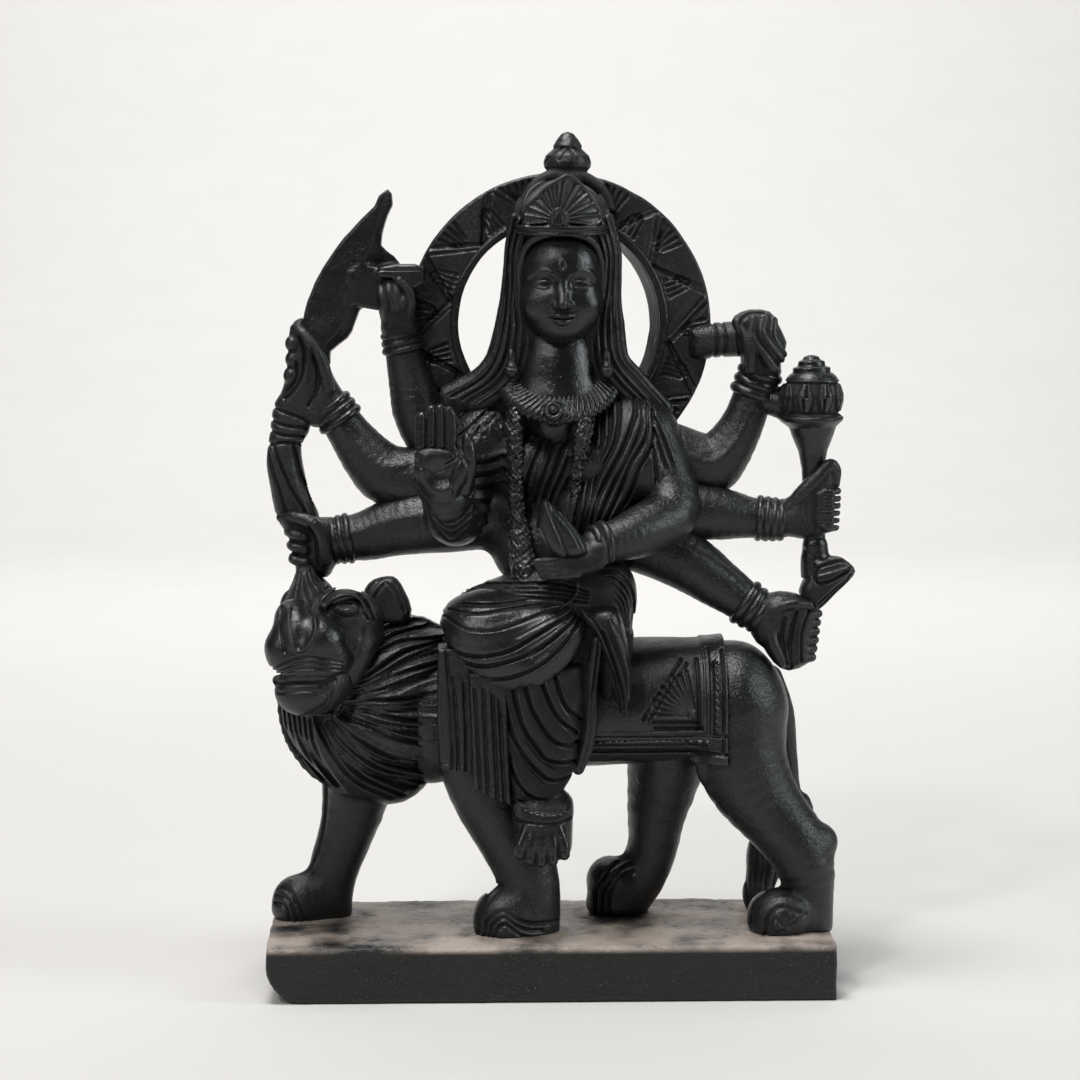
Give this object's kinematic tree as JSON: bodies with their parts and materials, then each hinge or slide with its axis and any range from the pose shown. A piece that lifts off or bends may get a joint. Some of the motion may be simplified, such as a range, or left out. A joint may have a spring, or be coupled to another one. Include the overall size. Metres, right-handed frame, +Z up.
{
  "type": "statuette",
  "caption": "Carved black stone statuette of a many-armed goddess seated side-saddle on a standing lion, with a ring halo behind her head and a rectangular plinth.",
  "frame": {"origin": "centre of the plinth's underside", "axes": "+X to the viewer's right, +Y to the statuette's back, +Z up"},
  "size_m": [0.204, 0.074, 0.2954],
  "materials": {
    "carved_stone": "near-black soft stone, chiselled, with dusty recesses and a low satin polish",
    "polished_stone": "the same stone where it is handled and polished: greyer edges and a sharper satin highlight",
    "plinth_stone": "the same stone, rough and pitted on top, sawn and rubbed smooth on the front"
  },
  "bodies": {
    "root": {"plinth": "plinth_stone", "lion_body": "carved_stone", "lion_mane": "carved_stone", "lion_head": "carved_stone", "lion_muzzle": "polished_stone", "lion_jaw": "carved_stone", "lion_ears": "carved_stone", "lion_front_leg_far": "carved_stone", "lion_front_leg_near": "carved_stone", "lion_rear_leg_far": "carved_stone", "lion_rear_leg_near": "carved_stone", "lion_tail": "carved_stone", "saddle_cloth": "carved_stone", "saddle_border": "polished_stone", "robe_lap": "carved_stone", "robe_knee": "polished_stone", "robe_pleats": "carved_stone", "robe_fall": "carved_stone", "robe_hip": "carved_stone", "hanging_foot": "carved_stone", "crossed_foot": "polished_stone", "torso": "carved_stone", "sash": "carved_stone", "garland": "carved_stone", "necklace": "polished_stone", "pendant": "polished_stone", "neck": "carved_stone", "face": "polished_stone", "hair": "carved_stone", "side_locks": "carved_stone", "earrings": "polished_stone", "crown_band": "carved_stone", "crown_plate": "polished_stone", "crown_boss": "polished_stone", "halo_ring": "carved_stone", "halo_rim": "polished_stone", "halo_finial": "polished_stone", "arm_sword": "carved_stone", "arm_bow_top": "carved_stone", "arm_bow_grip": "carved_stone", "arm_blessing": "carved_stone", "arm_conch": "carved_stone", "arm_mace": "carved_stone", "arm_lotus": "carved_stone", "arm_lap": "carved_stone", "hand_sword": "carved_stone", "hand_bow_top": "carved_stone", "hand_bow_grip": "carved_stone", "hand_blessing": "carved_stone", "hand_conch": "carved_stone", "hand_mace": "carved_stone", "hand_lotus": "carved_stone", "hand_lap": "carved_stone", "bangles": "polished_stone", "sword": "polished_stone", "bow": "polished_stone", "conch": "polished_stone", "mace": "polished_stone", "lotus_pod": "polished_stone", "lap_bud": "polished_stone"}
  },
  "joints": []
}
